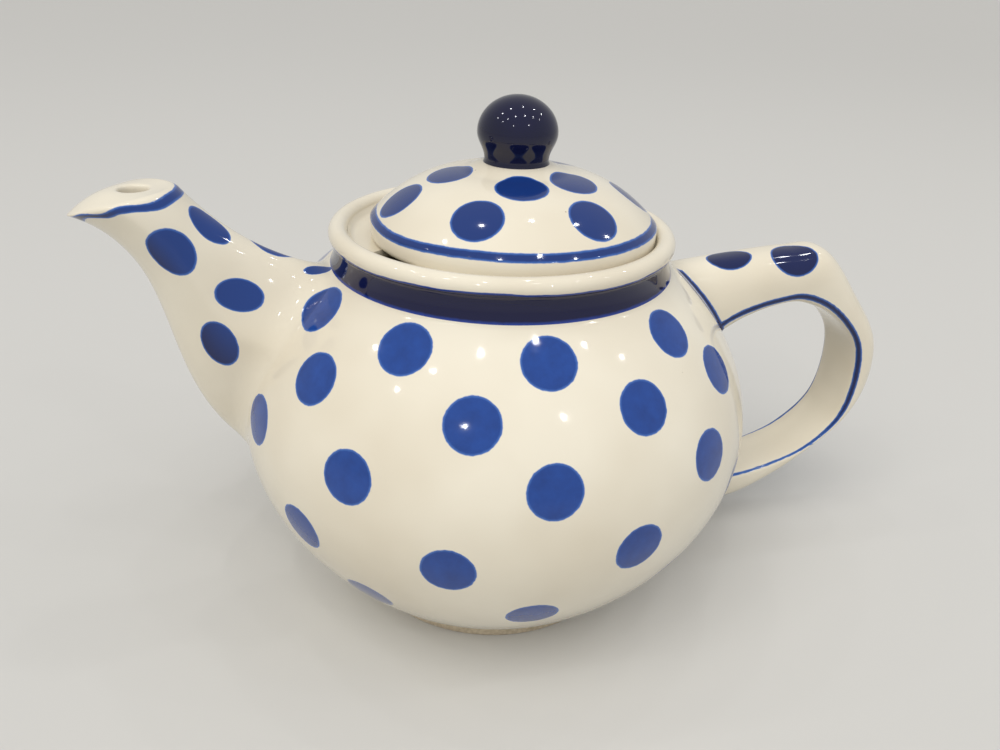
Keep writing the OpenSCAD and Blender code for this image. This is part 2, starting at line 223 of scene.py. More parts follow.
def glazed(name, ground, pooled, thin, full, deep, border, speckled=1.0):
    """Stoneware under a clear glaze. The ground runs a little to its pooled colour, and the underglaze
    is thin at its edges, full within them and deep where the brush was loaded, past a border."""
    cloud_size, speck_gap, waver_size, sponge_size = 35 * mm, 9 * mm, 2 * mm, 5 * mm
    wave_size, peel_size, skin_depth = 14 * mm, 2.5 * mm, 0.12 * mm
    largest_speck, speck_edge = 0.032, 0.012  # as shares of the gap between specks
    waver_w, thin_w, blend = 0.4 * mm, 0.7 * mm, 0.7 * mm
    made = bpy.data.materials.new(name)
    made.use_nodes = True
    tree = made.node_tree
    tree.nodes.clear()
    spot = add(tree, "ShaderNodeTexCoord").outputs["Object"]
    # cloudy changes, where the glaze lies thicker
    cloud = add(tree, "ShaderNodeTexNoise",
                {"Vector": spot, "Scale": 1 / cloud_size, "Detail": 2.0}).outputs["Fac"]
    cloud = add(tree, "ShaderNodeMapRange", {0: cloud, 1: 0.35, 2: 0.7}).outputs[0]
    base = add(tree, "ShaderNodeMix", {0: cloud, 6: colour(ground), 7: colour(pooled)},
               data_type="RGBA").outputs[2]
    # iron specks, 0.3 to 0.6 mm across, in about half of the cells
    cells = add(tree, "ShaderNodeTexVoronoi", {"Vector": spot, "Scale": 1 / speck_gap}).outputs
    chance = add(tree, "ShaderNodeSeparateColor", {0: cells["Color"]}).outputs
    size = add(tree, "ShaderNodeMapRange",
               {0: chance[0], 1: 0.45, 2: 1.0, 3: 0.0, 4: largest_speck}).outputs[0]
    close = add(tree, "ShaderNodeMath", {0: size, 1: cells["Distance"]}, operation="SUBTRACT").outputs[0]
    speck = add(tree, "ShaderNodeMapRange",
                {0: close, 1: 0.0, 2: speck_edge, 3: 0.0, 4: 0.6 * speckled}).outputs[0]
    base = add(tree, "ShaderNodeMix", {0: speck, 6: base, 7: colour(iron)}, data_type="RGBA").outputs[2]
    # the painted edge wavers a little
    dab = add(tree, "ShaderNodeAttribute", attribute_name="dab").outputs["Fac"]
    line = add(tree, "ShaderNodeAttribute", attribute_name="line").outputs["Fac"]
    inside = add(tree, "ShaderNodeMath", {0: dab, 1: line}, operation="MAXIMUM").outputs[0]
    waver = add(tree, "ShaderNodeTexNoise",
                {"Vector": spot, "Scale": 1 / waver_size, "Detail": 3.0}).outputs["Fac"]
    waver = add(tree, "ShaderNodeMath", {0: waver, 1: waver_w, 2: -waver_w / 2},
                operation="MULTIPLY_ADD").outputs[0]
    inside = add(tree, "ShaderNodeMath", {0: inside, 1: waver}, operation="ADD").outputs[0]
    painted = add(tree, "ShaderNodeMapRange", {0: inside, 1: -0.08 * mm, 2: 0.22 * mm},
                  interpolation_type="SMOOTHSTEP").outputs[0]
    body = add(tree, "ShaderNodeMapRange", {0: inside, 1: 0.05 * mm, 2: thin_w}).outputs[0]
    # the sponge leaves the colour thicker in some places
    marks = add(tree, "ShaderNodeTexNoise", {"Vector": spot, "Scale": 1 / sponge_size, "Detail": 4.0,
                                             "Roughness": 0.65}).outputs["Fac"]
    marks = add(tree, "ShaderNodeMapRange", {0: marks, 1: 0.3, 2: 0.75, 3: 0.0, 4: 0.35}).outputs[0]
    load = add(tree, "ShaderNodeAttribute", attribute_name="load").outputs["Fac"]
    core = add(tree, "ShaderNodeMapRange", {0: inside, 1: border, 2: border + blend}).outputs[0]
    loaded = add(tree, "ShaderNodeMath", {0: load, 1: core}, operation="MULTIPLY").outputs[0]
    depth = add(tree, "ShaderNodeMath", {0: marks, 1: loaded}, operation="MAXIMUM", use_clamp=True)
    blue = add(tree, "ShaderNodeMix", {0: depth.outputs[0], 6: colour(full), 7: colour(deep)},
               data_type="RGBA").outputs[2]
    blue = add(tree, "ShaderNodeMix", {0: body, 6: colour(thin), 7: blue}, data_type="RGBA").outputs[2]
    base = add(tree, "ShaderNodeMix", {0: painted, 6: base, 7: blue}, data_type="RGBA").outputs[2]
    # the fired skin undulates in broad waves, with a fine orange peel about an eighth as deep
    broad = add(tree, "ShaderNodeTexNoise",
                {"Vector": spot, "Scale": 1 / wave_size, "Detail": 1.0}).outputs["Fac"]
    peel = add(tree, "ShaderNodeTexNoise",
               {"Vector": spot, "Scale": 1 / peel_size, "Detail": 1.0}).outputs["Fac"]
    skin_height = add(tree, "ShaderNodeMath", {0: peel, 1: 0.12, 2: broad}, operation="MULTIPLY_ADD")
    bump = add(tree, "ShaderNodeBump",
               {"Height": skin_height.outputs[0], "Strength": 1.0, "Distance": skin_depth}).outputs[0]
    shine = add(tree, "ShaderNodeBsdfPrincipled",
                {"Base Color": base, "Roughness": 0.07, "IOR": 1.5, "Normal": bump}).outputs[0]
    add(tree, "ShaderNodeOutputMaterial", {"Surface": shine})
    return made


# Clear glaze over cream stoneware: warm, glossy, with a few iron specks, and crisp blue under it
cream, pooled_cream, iron = "#E4DDCB", "#D9D0BC", "#6E5138"
cream_glaze = glazed("cream stoneware glaze", cream, pooled_cream,
                     thin="#4470B8", full="#1C4592", deep="#0B1544", border=0.15 * mm)

outside_points, inside_points, fine = 84, 48, 600
heights = np.linspace(foot_h, neck_z, fine)
outside = spaced(np.stack([pot_r(heights), heights], axis=-1), outside_points)
heights = np.linspace(neck_z, foot_h + floor_t, fine)
thickness = wall * np.sqrt(1 + pot_slope(heights) ** 2)
inside_wall = spaced(np.stack([pot_r(heights) - thickness, heights], axis=-1), inside_points)
pot_profile = np.concatenate([[[0, foot_h], [foot_r / 2, foot_h]], outside, inside_wall,
                              [[inside_wall[-1, 0] / 2, foot_h + floor_t], [0, foot_h + floor_t]]])
pot = thrown("pot", pot_profile, cream_glaze)

# The strainer: rows of one and two holes in turn, drilled through the wall
drill, given = new_tree("drill", {"Rows": "Int", "Pitch": "Float", "Hole": "Float", "Length": "Float",
                                  "Middle": "Vector", "Tilt": "Float", "Glaze": "Material"})
gaps = add(drill, "ShaderNodeMath", {0: given["Rows"], 1: 1.0}, operation="SUBTRACT").outputs[0]
lattice = add(drill, "GeometryNodeMeshGrid", {"Size X": gaps, "Size Y": 1.0, "Vertices X": given["Rows"],
                                              "Vertices Y": 2}).outputs["Mesh"]
place = add(drill, "GeometryNodeInputPosition").outputs[0]
spot = add(drill, "ShaderNodeSeparateXYZ", {0: place}).outputs
half = add(drill, "ShaderNodeMath", {0: gaps, 1: 0.5}, operation="MULTIPLY").outputs[0]
row = add(drill, "ShaderNodeMath", {0: spot["X"], 1: half}, operation="ADD").outputs[0]
row = add(drill, "ShaderNodeMath", {0: row}, operation="ROUND").outputs[0]
odd = add(drill, "ShaderNodeMath", {0: row, 1: 2.0}, operation="FLOORED_MODULO").outputs[0]
aside = add(drill, "ShaderNodeMath", {0: spot["Y"], 1: given["Pitch"]}, operation="MULTIPLY").outputs[0]
aside = add(drill, "ShaderNodeMath", {0: aside, 1: odd}, operation="MULTIPLY").outputs[0]
rise = add(drill, "ShaderNodeMath", {0: given["Pitch"], 1: math.sin(math.radians(60))},
           operation="MULTIPLY").outputs[0]
rise = add(drill, "ShaderNodeMath", {0: spot["X"], 1: rise}, operation="MULTIPLY").outputs[0]
where = add(drill, "ShaderNodeCombineXYZ", {0: 0.0, 1: aside, 2: rise}).outputs[0]
where = add(drill, "ShaderNodeVectorMath", {0: where, 1: given["Middle"]}, operation="ADD").outputs[0]
lattice = add(drill, "GeometryNodeSetPosition", {"Geometry": lattice, "Position": where}).outputs[0]
lattice = add(drill, "GeometryNodeMergeByDistance", {"Geometry": lattice, "Distance": 0.1 * mm}).outputs[0]
hole_r = add(drill, "ShaderNodeMath", {0: given["Hole"], 1: 0.5}, operation="MULTIPLY").outputs[0]
bit = add(drill, "GeometryNodeMeshCylinder",
          {"Vertices": 32, "Radius": hole_r, "Depth": given["Length"]}).outputs["Mesh"]
turned = add(drill, "ShaderNodeCombineXYZ", {0: 0.0, 1: given["Tilt"], 2: 0.0}).outputs[0]
bits = add(drill, "GeometryNodeInstanceOnPoints", {"Points": lattice, "Instance": bit,
                                                   "Rotation": turned}).outputs[0]
bits = add(drill, "GeometryNodeRealizeInstances", {0: bits}).outputs[0]
clay = add(drill, "GeometryNodeMeshBoolean", {"Mesh 1": given["Piece"], "Mesh 2": bits},
           operation="DIFFERENCE").outputs["Mesh"]
clay = add(drill, "GeometryNodeRealizeInstances", {0: clay}).outputs[0]
clay = add(drill, "GeometryNodeSetMaterial", {"Geometry": clay, "Material": given["Glaze"]}).outputs[0]
add(drill, "NodeGroupOutput", {0: clay})

hole_rows, hole_pitch, strainer_hole_d = 5, 7 * mm, 4.5 * mm
strainer_z, drill_l = 81.2 * mm, 36 * mm
worked(pot, drill, {"Rows": hole_rows, "Pitch": hole_pitch, "Hole": strainer_hole_d, "Length": drill_l,
                    "Middle": (drill_l / 2 - belly_r, 0, strainer_z), "Tilt": math.pi / 2,
                    "Glaze": cream_glaze})


def on_wall(turn, z):
    """Point on the pot's wall, by degrees from its front towards the handle and by height."""
    a = math.radians(turn)
    r = float(pot_r(z * mm))
    return (r * math.sin(a), -r * math.cos(a), z * mm)


# rows of dabs on the front, from the neck down, in degrees and mm; the back has the same mirrored
dab_r = 7 * mm
front_dabs = [
    (-71.5, 98.4), (-38, 98), (-2, 97.6), (37, 97.7),
    (-58, 87.2), (-19, 86.5), (18.5, 87), (48.4, 85.8),
    (-73, 69.6), (-42.5, 70.6), (-3, 73.1), (34.4, 70.4), (72.6, 69.8),
    (-55.6, 48.5), (-22, 51.4), (14.8, 53.7), (50.5, 52),
    (-43, 28.9), (-4.7, 31.9), (33, 31),
]
places = [on_wall(turn, z) for turn, z in front_dabs]
# and one more inside the handle and one below the spout
places += [(x, -y, z) for x, y, z in places] + [on_wall(90, 51), on_wall(-90, 30)]
upward = (0, 0, 1)
pot_dabs = [(*place, dab_r, dab_r, upward) for place in places]
# in mm: the middle, half the length, half the width and the direction of the width of the oval dabs on
# the spout, near side and then far side and along its top and underside
spout_dabs = [
    ((-86.6, -11.6, 112.9), 6.7, 5.1, (-0.78, 0.32, -0.54)),
    ((-77.9, -3.9, 117.2), 6.4, 4.1, (0.42, 0.84, 0.34)),
    ((-71.9, -10.2, 100.4), 6.4, 4.4, (-0.25, -0.26, -0.93)),
    ((-78.4, -11.5, 87.4), 6.9, 5.0, (-0.93, 0.3, -0.2)),
    ((-86.9, 11.6, 111.9), 6.7, 5.1, (-0.78, -0.32, -0.54)),
    ((-72.6, 10.2, 100.8), 6.4, 4.4, (-0.25, 0.26, -0.93)),
    ((-78.1, 11.5, 87.9), 6.8, 5.3, (-0.77, -0.35, -0.53)), ((-63.5, 2.6, 108.6), 6.5, 4.6, (0, 1, 0)),
    ((-98.5, 1.5, 111.8), 6.0, 4.6, (0, 1, 0)), ((-84.5, 1, 88), 6.3, 5.4, (0, 1, 0)),
    ((-51.6, -2.9, 103.4), 4.2, 1.9, (0.18, -0.83, -0.52)),
]
# on the handle, from the pot over the thumb rest and down the back
handle_dabs = [
    ((71.8, -2, 101.4), 7.4, 5.0, (0, 1, 0)), ((92.2, -6, 102.4), 7.8, 6.6, (0, 1, 1)),
    ((112, 3, 96.5), 7.2, 6.2, (0, 1, 0)), ((129.5, 1.5, 73.5), 7.2, 6.0, (0, 1, 0)),
    ((129, -1, 50), 7.2, 6.0, (0, 1, 0)), ((112, 2, 24), 7.0, 6.0, (0, 1, 0)),
]
vessel_dabs = pot_dabs + [(x * mm, y * mm, z * mm, long * mm, short * mm, across)
                          for (x, y, z), long, short, across in spout_dabs + handle_dabs]
painted(pot, vessel_dabs, hollow=np.array([0, 0, belly_z]))
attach(pot, "pot")
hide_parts("body")

# ---- Foot ring ----
# A low ring turned out of the same clay. It is wiped clean before firing, so it is bare, dry and a
# little darker than the glaze.


def rounded(corners, size, steps=5):
    """A closed profile with its corners rounded off by about a size."""
    corners = np.asarray(corners, float)
    line = []
    for i, corner in enumerate(corners):
        before, after = corners[i - 1] - corner, corners[(i + 1) % len(corners)] - corner
        cut_b = min(size, np.linalg.norm(before) * 0.45)
        cut_a = min(size, np.linalg.norm(after) * 0.45)
        start, end = corner + unit(before) * cut_b, corner + unit(after) * cut_a
        for u in np.linspace(0, 1, steps):
            line.append((1 - u) ** 2 * start + 2 * u * (1 - u) * corner + u * u * end)
    return np.array(line + line[:1])


# Bare fired stoneware: matt, greyish buff, with fine grog
bare_clay = bpy.data.materials.new("bare stoneware clay")
bare_clay.use_nodes = True
tree = bare_clay.node_tree
tree.nodes.clear()
spot = add(tree, "ShaderNodeTexCoord").outputs["Object"]
grain = 1.2 * mm
grog = add(tree, "ShaderNodeTexNoise", {"Vector": spot, "Scale": 1 / grain, "Detail": 5.0}).outputs["Fac"]
grog = add(tree, "ShaderNodeMapRange", {0: grog, 1: 0.35, 2: 0.7}).outputs[0]
base = add(tree, "ShaderNodeMix", {0: grog, 6: colour("#C9BBA2"), 7: colour("#A99A82")},
           data_type="RGBA").outputs[2]
bump = add(tree, "ShaderNodeBump", {"Height": grog, "Strength": 0.6, "Distance": 0.08 * mm}).outputs[0]
clay = add(tree, "ShaderNodeBsdfPrincipled",
           {"Base Color": base, "Roughness": 0.85, "Normal": bump}).outputs[0]
add(tree, "ShaderNodeOutputMaterial", {"Surface": clay})

foot_w = 6 * mm
ring_edge = 0.8 * mm
foot_profile = rounded([[foot_r - foot_w, foot_h], [foot_r - foot_w, 0],
                        [foot_r, 0], [foot_r, foot_h]], ring_edge)
foot_profile[:, 1] = np.where(foot_profile[:, 1] > foot_h - ring_edge, foot_h, foot_profile[:, 1])
foot = thrown("foot_ring", foot_profile, bare_clay, points_round=192)
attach(foot, "pot")
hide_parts("foot_ring")

# ---- Collar ----
# An upright collar thrown on the neck, with a fat rolled rim and a ledge inside it where the lid lies.
# Its outside was banded on the wheel with a full brush of cobalt, which fired almost black.

well_r, ledge_r = 43 * mm, 33.5 * mm
rim_z, ledge_z = 115 * mm, 110.8 * mm
rim_r = 2.65 * mm
rim_mid = well_r + rim_r
draw_in = 0.25 * mm
band_r = rim_mid + rim_r * 0.6 - draw_in
band_top = rim_z - rim_r * 1.9
fillet = 2 * mm
ledge_edge, under_cut = 0.6 * mm, 2 * mm


def ease(a, b, t):
    """Smooth step from 0 at a to 1 at b."""
    u = np.clip((t - a) / (b - a), 0, 1)
    return u * u * (3 - 2 * u)


def bezier(points, t):
    """Points on a cubic curve."""
    a, b, c, d = (np.asarray(p, float) for p in points)
    t = np.asarray(t, float)[..., None]
    return (1 - t) ** 3 * a + 3 * t * (1 - t) ** 2 * b + 3 * t * t * (1 - t) * c + t ** 3 * d


band = bezier([(neck_r, neck_z), (band_r, neck_z + 2 * mm), (band_r, band_top - 1 * mm),
               (band_r + draw_in, band_top)], np.linspace(0, 1, 16))
roll = [(rim_mid + rim_r * math.cos(a), rim_z - rim_r + rim_r * math.sin(a))
        for a in np.radians(np.arange(-36, 181, 8))]
well = [(well_r, ledge_z + fillet), (well_r - 0.3 * fillet, ledge_z + 0.3 * fillet),
        (well_r - fillet, ledge_z)]
ledge = [(ledge_r + ledge_edge, ledge_z), (ledge_r, ledge_z - ledge_edge)]
collar_profile = np.concatenate([
    [(ledge_r, neck_z + under_cut), (ledge_r + under_cut, neck_z), (neck_r - 0.5 * mm, neck_z)],
    band, roll, well, ledge, [(ledge_r, neck_z + under_cut)]])

# The same clear glaze; where the band is at its thickest the cobalt under it is nearly black
collar_glaze = glazed("banded cobalt glaze", cream, pooled_cream,
                      thin="#3F5FA8", full="#1D3A8E", deep="#080B36", border=0.7 * mm, speckled=0.6)
collar = thrown("collar", collar_profile, collar_glaze)
at = points_of(collar)
# a notch was cut through the ledge with a knife, left of the front
place_round = np.arctan2(at[:, 1], at[:, 0])
notch_l, ledge_lip = 6.8 * mm, 2.5 * mm
notch_turn, notch_half, notch_side = math.radians(208), math.radians(14), math.radians(3)
from_notch = np.abs(np.mod(place_round, math.tau) - notch_turn)
reach = np.hypot(at[:, 0], at[:, 1])
cut = notch_l * (1 - ease(notch_half - notch_side, notch_half, from_notch))
cut *= reach < ledge_r + ledge_lip
at[:, :2] *= (1 + cut / reach)[:, None]
collar.data.vertices.foreach_set("co", at.astype(np.float32).ravel())
collar.data.update()
band_low, band_high = neck_z - 0.6 * mm, 111.7 * mm
# the brush left the upper edge of the band a little ragged
ragged = sum(np.sin(place_round * waves + waves) / waves for waves in (5, 13, 29, 47))
rag, rim_share = 1.2 * mm, 1.2 * mm
band_high = band_high + ragged * rag
in_band = np.minimum(np.minimum(at[:, 2] - band_low, (band_high - at[:, 2]) * 2),
                     np.hypot(at[:, 0], at[:, 1]) - well_r - rim_share)
painted(collar, line=in_band, load=1.0)
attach(collar, "pot")
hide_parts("collar")

# ---- Spout ----
# Cast as a hollow taper with a soft ridge along each side, luted to the wall with slip, and cut aslant
# to a beaked mouth. Its lip swells up to a small round hole. A cobalt line was brushed under the lip.

tip_x, tip_z = -111 * mm, 120 * mm
mouth_l, mouth_w, mouth_rise = 26 * mm, 26.5 * mm, 6.6 * mm
spout_w, spout_root_w = 23 * mm, 30 * mm
spout_wall, bore_r = 5 * mm, 3.5 * mm
spout_top = [(-45.2 * mm, 103 * mm), (-60.2 * mm, 105 * mm),
             (tip_x + mouth_l + 10 * mm, tip_z + mouth_rise - 13 * mm), (tip_x + mouth_l, tip_z + mouth_rise)]
spout_under = [(-63 * mm, 42 * mm), (-104 * mm, 65 * mm), (tip_x + 31 * mm, tip_z - 11 * mm), (tip_x, tip_z)]
hole_x, hole_z = tip_x + mouth_l * 0.62, tip_z - 5 * mm
mouth_arch, beak_draw, slant = 1.6 * mm, 0.32, 1.2
side_ridge, root_ridge, ridge_climb = 1.5, 1.2, 0.3
lip_top_z, lip_curve = tip_z + 6.1 * mm, 1.8
spout_points = 112
round_spout = np.arange(spout_points) * math.tau / spout_points


def spout_half_w(t):
    """Half the width of the spout, t from 0 at its root to 1 at its mouth."""
    low = spout_root_w + (spout_w - spout_root_w) * ease(0, 0.55, t)
    return np.where(t < 0.7, low, spout_w + (mouth_w - spout_w) * ease(0.7, 1, t)) / 2


def spout_rings(t):
    """Sections of the outside, t from 0 inside the pot to 1 at the mouth's edge."""
    top, under = bezier(spout_top, t), bezier(spout_under, t)
    middle, half = (top + under) / 2, (top - under) / 2
    t = t[:, None]
    climb = ridge_climb * (1 - ease(0.05, 0.45, t))
    s = np.sin(round_spout)
    ridge = root_ridge + (side_ridge - root_ridge) * ease(0.2, 0.9, t)
    c = np.sign(np.cos(round_spout)) * np.sqrt(np.clip(1 - np.abs(s) ** ridge, 0, None))
    s = climb + s * (1 - climb * np.sign(s))
    narrow = 1 - beak_draw * ease(0.8, 1, t) * ((1 - s) / 2) ** 3
    arch = mouth_arch * ease(0.75, 1, t) * (1 - s * s)
    return np.stack([middle[:, :1] + half[:, :1] * s, spout_half_w(t) * c * narrow,
                     middle[:, 1:] + half[:, 1:] * s + arch], axis=-1)


def run_of(lines):
    """Distance along each line of a bundle."""
    steps = np.linalg.norm(np.diff(lines, axis=0), axis=-1)
    return np.concatenate([np.zeros((1, lines.shape[1])), np.cumsum(steps, axis=0)])


def along(lines, run, at):
    """Point on each line of a bundle at its own distance."""
    return np.array([[np.interp(at[j], run[:, j], lines[:, j, i]) for i in range(3)]
                     for j in range(lines.shape[1])])


def luted(lines, up, out, rings=16, count=70, end=0.0):
    """Joins a bundle of lines that grow out of the pot to its wall with a fillet that starts this far up
    the lines and ends this far out on the wall. Returns the rings of the fillet, from under the skin of
    the wall, and those of the lines above it, which stop short of their end by the last distance."""
    run = run_of(lines)
    up = np.broadcast_to(up, lines.shape[1])
    gap = np.hypot(lines[..., 0], lines[..., 1]) - pot_r(lines[..., 2])
    last_in = [np.nonzero(gap[:, j] < 0)[0][-1] for j in range(lines.shape[1])]
    start = np.array([run[i, j] + (run[i + 1, j] - run[i, j]) * gap[i, j] / (gap[i, j] - gap[i + 1, j])
                      for j, i in enumerate(last_in)])
    seam = along(lines, run, start)
    normal = pot_normal(seam)
    outward = np.cross(np.roll(seam, -1, axis=0) - np.roll(seam, 1, axis=0), normal)
    if np.sum(outward * (seam - seam.mean(axis=0))) < 0:
        outward = -outward
    outward = unit(outward)
    for _ in range(4):
        outward = unit(outward + np.roll(outward, 1, axis=0) + np.roll(outward, -1, axis=0))
    # it stays on the wall, below the collar
    steep, clear, least = 0.05, 0.2 * mm, 0.3 * mm
    room = (neck_z - clear - seam[:, 2]) / np.maximum(outward[:, 2], steep)
    room = np.where(outward[:, 2] > steep, room, out)
    out = np.clip(np.minimum(out, room), least, None)
    for _ in range(6):
        out = (out + np.roll(out, 1) + np.roll(out, -1)) / 3
    out = np.minimum(out, np.maximum(room, least))[:, None]
    landing = onto_pot(seam + outward * out)
    normal = pot_normal(landing)
    outward = landing - seam
    outward = unit(outward - np.sum(outward * normal, axis=1, keepdims=True) * normal)
    leave = along(lines, run, start + up)
    heading = unit(along(lines, run, start + up + least) - along(lines, run, start + up - least))
    pull, tuck, sink = 0.62, 2 * mm, 0.12 * mm
    fillet = bezier([landing, landing - outward * out * pull, leave - heading * up[:, None] * pull, leave],
                    np.linspace(0, 1, rings)[:, None] * np.ones(lines.shape[1]))
    skin = onto_pot(landing + outward * tuck)
    under = [skin - pot_normal(skin) * tuck, skin - pot_normal(skin) * sink]
    above = [along(lines, run, start + up + (run[-1] - end - start - up) * u)
             for u in np.linspace(0, 1, count)[1:]]
    return np.concatenate([under, fillet]), np.array(above)


def skinned(name, rings, glaze, looped=False):
    """A piece with a skin over rings of points, closed at its ends, or from the last ring to the first."""
    k, n = rings.shape[:2]
    points = rings.reshape(-1, 3)
    j = np.arange(n)
    spans = np.arange(k if looped else k - 1)[:, None]
    here, there = spans * n, (spans + 1) % k * n
    faces = np.stack([here + j, here + (j + 1) % n, there + (j + 1) % n, there + j], axis=-1)
    faces = faces.reshape(-1, 4).tolist()
    if not looped:
        points = np.concatenate([points, [rings[0].mean(axis=0), rings[-1].mean(axis=0)]])
        faces += [[(i + 1) % n, i, k * n] for i in range(n)]
        faces += [[(k - 1) * n + i, (k - 1) * n + (i + 1) % n, k * n + 1] for i in range(n)]
    # six times the volume inside, which comes out negative when the faces look inwards
    corners = [[face[0], *pair] for face in faces for pair in zip(face[1:], face[2:])]
    a, b, c = np.moveaxis(points[corners], 1, 0)
    if np.sum(a * np.cross(b, c)) < 0:
        faces = [face[::-1] for face in faces]
    return put(name, points, faces, glaze)


outer = spout_rings(np.linspace(0, 1, 240))
edge = outer[-1]
# the lip is rounded over, except at the tip, where it is pinched almost sharp
lip_round, pinched = 1.5 * mm, 0.25 * mm
lip_in = lip_round - (lip_round - pinched) * ease(-104 * mm, -110.5 * mm, edge[:, 0])
above_ridge = ease(-0.3, 0.6, np.sin(round_spout))
root, side = luted(outer, up=(6 + 3 * above_ridge) * mm, out=(4 + 2 * above_ridge) * mm, count=90,
                   end=lip_in)
to_hole = np.array([hole_x, 0, lip_top_z]) - edge
lip_l = np.linalg.norm(to_hole, axis=1)[:, None]
hole_edge = lip_l - bore_r - 1.2 * mm


def lip(inwards):
    """Rings on the swollen lip, each this far in from the mouth's edge. It runs level to the hole."""
    ring = edge + to_hole * inwards / lip_l
    ring[:, 2:] = lip_top_z + (edge[:, 2:] - lip_top_z) * np.clip(1 - inwards / hole_edge, 0, 1) ** lip_curve
    return ring


side_run = run_of(outer)
before = along(outer, side_run, side_run[-1] - lip_in)
climb = unit(along(outer, side_run, side_run[-1] - lip_in + 0.2 * mm) - before)
lip_in = lip_in[:, None]
after = lip(lip_in)
flow = unit(lip(lip_in + 0.2 * mm) - after)
rolled = bezier([before, before + climb * lip_in * 0.6, after - flow * lip_in * 0.6, after],
                np.linspace(0, 1, 9)[1:, None] * np.ones(spout_points))
top_of_lip = [lip(lip_in + (hole_edge - lip_in) * u) for u in np.linspace(0, 1, 10)[1:]]
# over the edge of the hole and down into it
across = unit(top_of_lip[-1] - [hole_x, 0, 0] - top_of_lip[-1] * [0, 0, 1])
throat = np.array([hole_x, 0, 0]) + across * bore_r
drop = top_of_lip[-1][:, 2:] - 1.6 * mm
over = bezier([top_of_lip[-1], top_of_lip[-1] - across * 0.9 * mm,
               throat + (drop + 1 * mm) * [0, 0, 1], throat + drop * [0, 0, 1]],
              np.linspace(0, 1, 8)[1:, None] * np.ones(spout_points))


def hollow_rings(t):
    """Sections of the hollow, t from 0 inside the pot to 1 at the foot of the hole."""
    end = 0.85
    top, under = bezier(spout_top, t * end), bezier(spout_under, t * end)
    half = (top - under) / 2
    length = np.linalg.norm(half, axis=1, keepdims=True)
    turned, narrow = ease(0.55, 1, t)[:, None], ease(0.5, 1, t)[:, None]
    middle = (top + under) / 2 * (1 - turned) + np.array([hole_x, hole_z]) * turned
    up = half / length * (1 - turned) + np.array([1, 0]) * turned
    h = (length - spout_wall * slant) * (1 - narrow) + bore_r * narrow
    w = (spout_half_w(t * end)[:, None] - spout_wall) * (1 - narrow) + bore_r * narrow
    s, c = np.sin(round_spout), np.cos(round_spout)
    return np.stack([middle[:, :1] + up[:, :1] * h * s, w * c, middle[:, 1:] + up[:, 1:] * h * s], axis=-1)


inner = hollow_rings(np.linspace(0, 1, 120))
inner_run = run_of(inner)
gap = np.hypot(inner[..., 0], inner[..., 1]) - pot_r(inner[..., 2]) + 1.5 * mm
start = np.array([inner_run[np.nonzero(gap[:, j] < 0)[0][-1], j] for j in range(spout_points)])
passage = [along(inner, inner_run, start + (inner_run[-1] - start) * u) for u in np.linspace(1, 0, 36)]
spout = skinned("spout", np.concatenate([root, side, rolled, top_of_lip, over, passage]), cream_glaze,
                looped=True)

# the brushed line hangs just below the mouth's edge, sags twice on each side and is darkest at the tip
skirt = len(root)
rings_down = np.concatenate([root, side, rolled])
edge_run = run_of(rings_down)
below = edge_run[skirt + len(side) + 3] - edge_run


def swell(middle, spread):
    """A soft swell in the line, centred on one X of the mouth's edge."""
    return np.exp(-((edge[:, 0] - middle * mm) / (spread * mm)) ** 2) * mm


at_tip = ease(-107 * mm, -110.5 * mm, edge[:, 0]) * mm
line_at = 1.05 * mm + 1.1 * swell(-102, 3) + 1.7 * swell(-91, 4.4) + 1.2 * at_tip
line_w = 2.2 * mm + 0.7 * mm * ease(-100 * mm, -96 * mm, edge[:, 0]) + 1.2 * at_tip
in_line = np.full((len(spout.data.vertices) // spout_points, spout_points), unpainted)
in_line[:len(below)] = line_w / 2 - np.abs(below - line_at)
brush_load = 0.35 + 0.65 * ease(-97 * mm, -106 * mm, edge[:, 0])
painted(spout, vessel_dabs, in_line.ravel(), np.tile(brush_load, len(in_line)))
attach(spout, "pot")
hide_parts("spout")

# ---- Handle ----
# A pressed strap, flat inside and round outside, with a shoulder on top where the thumb rests. It is
# luted on high at the neck and low on the belly, and a cobalt line runs along both its inner edges.

handle_w = 20 * mm
# inside face and back of the strap, in X and Z, from its upper joint round to its lower one
grip = np.array([
    [54, 62.5], [72, 80.3], [90, 87.3], [102, 85.5], [112.7, 79.2], [120, 70], [122, 56.1], [119.5, 43.1],
    [110, 33], [98, 28], [84, 25], [66, 24], [52, 24.5]]) * mm
back = np.array([
    [44, 98.5], [70, 101.4], [93, 103.4], [105.5, 102.6], [118.9, 87.8], [129.6, 72.5], [131.3, 56.1],
    [125.2, 43], [113, 32], [101.5, 21.2], [86, 12.7], [65, 10.5], [48, 14]]) * mm


def through(points, t):
    """Points on a smooth line through every point of a list."""
    n = len(points) - 1
    i = np.minimum(n - 1, np.floor(t * n).astype(int))
    u = (t * n - i)[:, None]
    a, b, c, d = points[np.maximum(0, i - 1)], points[i], points[i + 1], points[np.minimum(n, i + 2)]
    square, cube = 2 * a - 5 * b + 4 * c - d, 3 * b - a - 3 * c + d
    return b + (c - a) * u / 2 + square * u ** 2 / 2 + cube * u ** 3 / 2


def signed_power(v, p):
    """A power of the size of a number that keeps its sign."""
    return np.sign(v) * np.abs(v) ** p


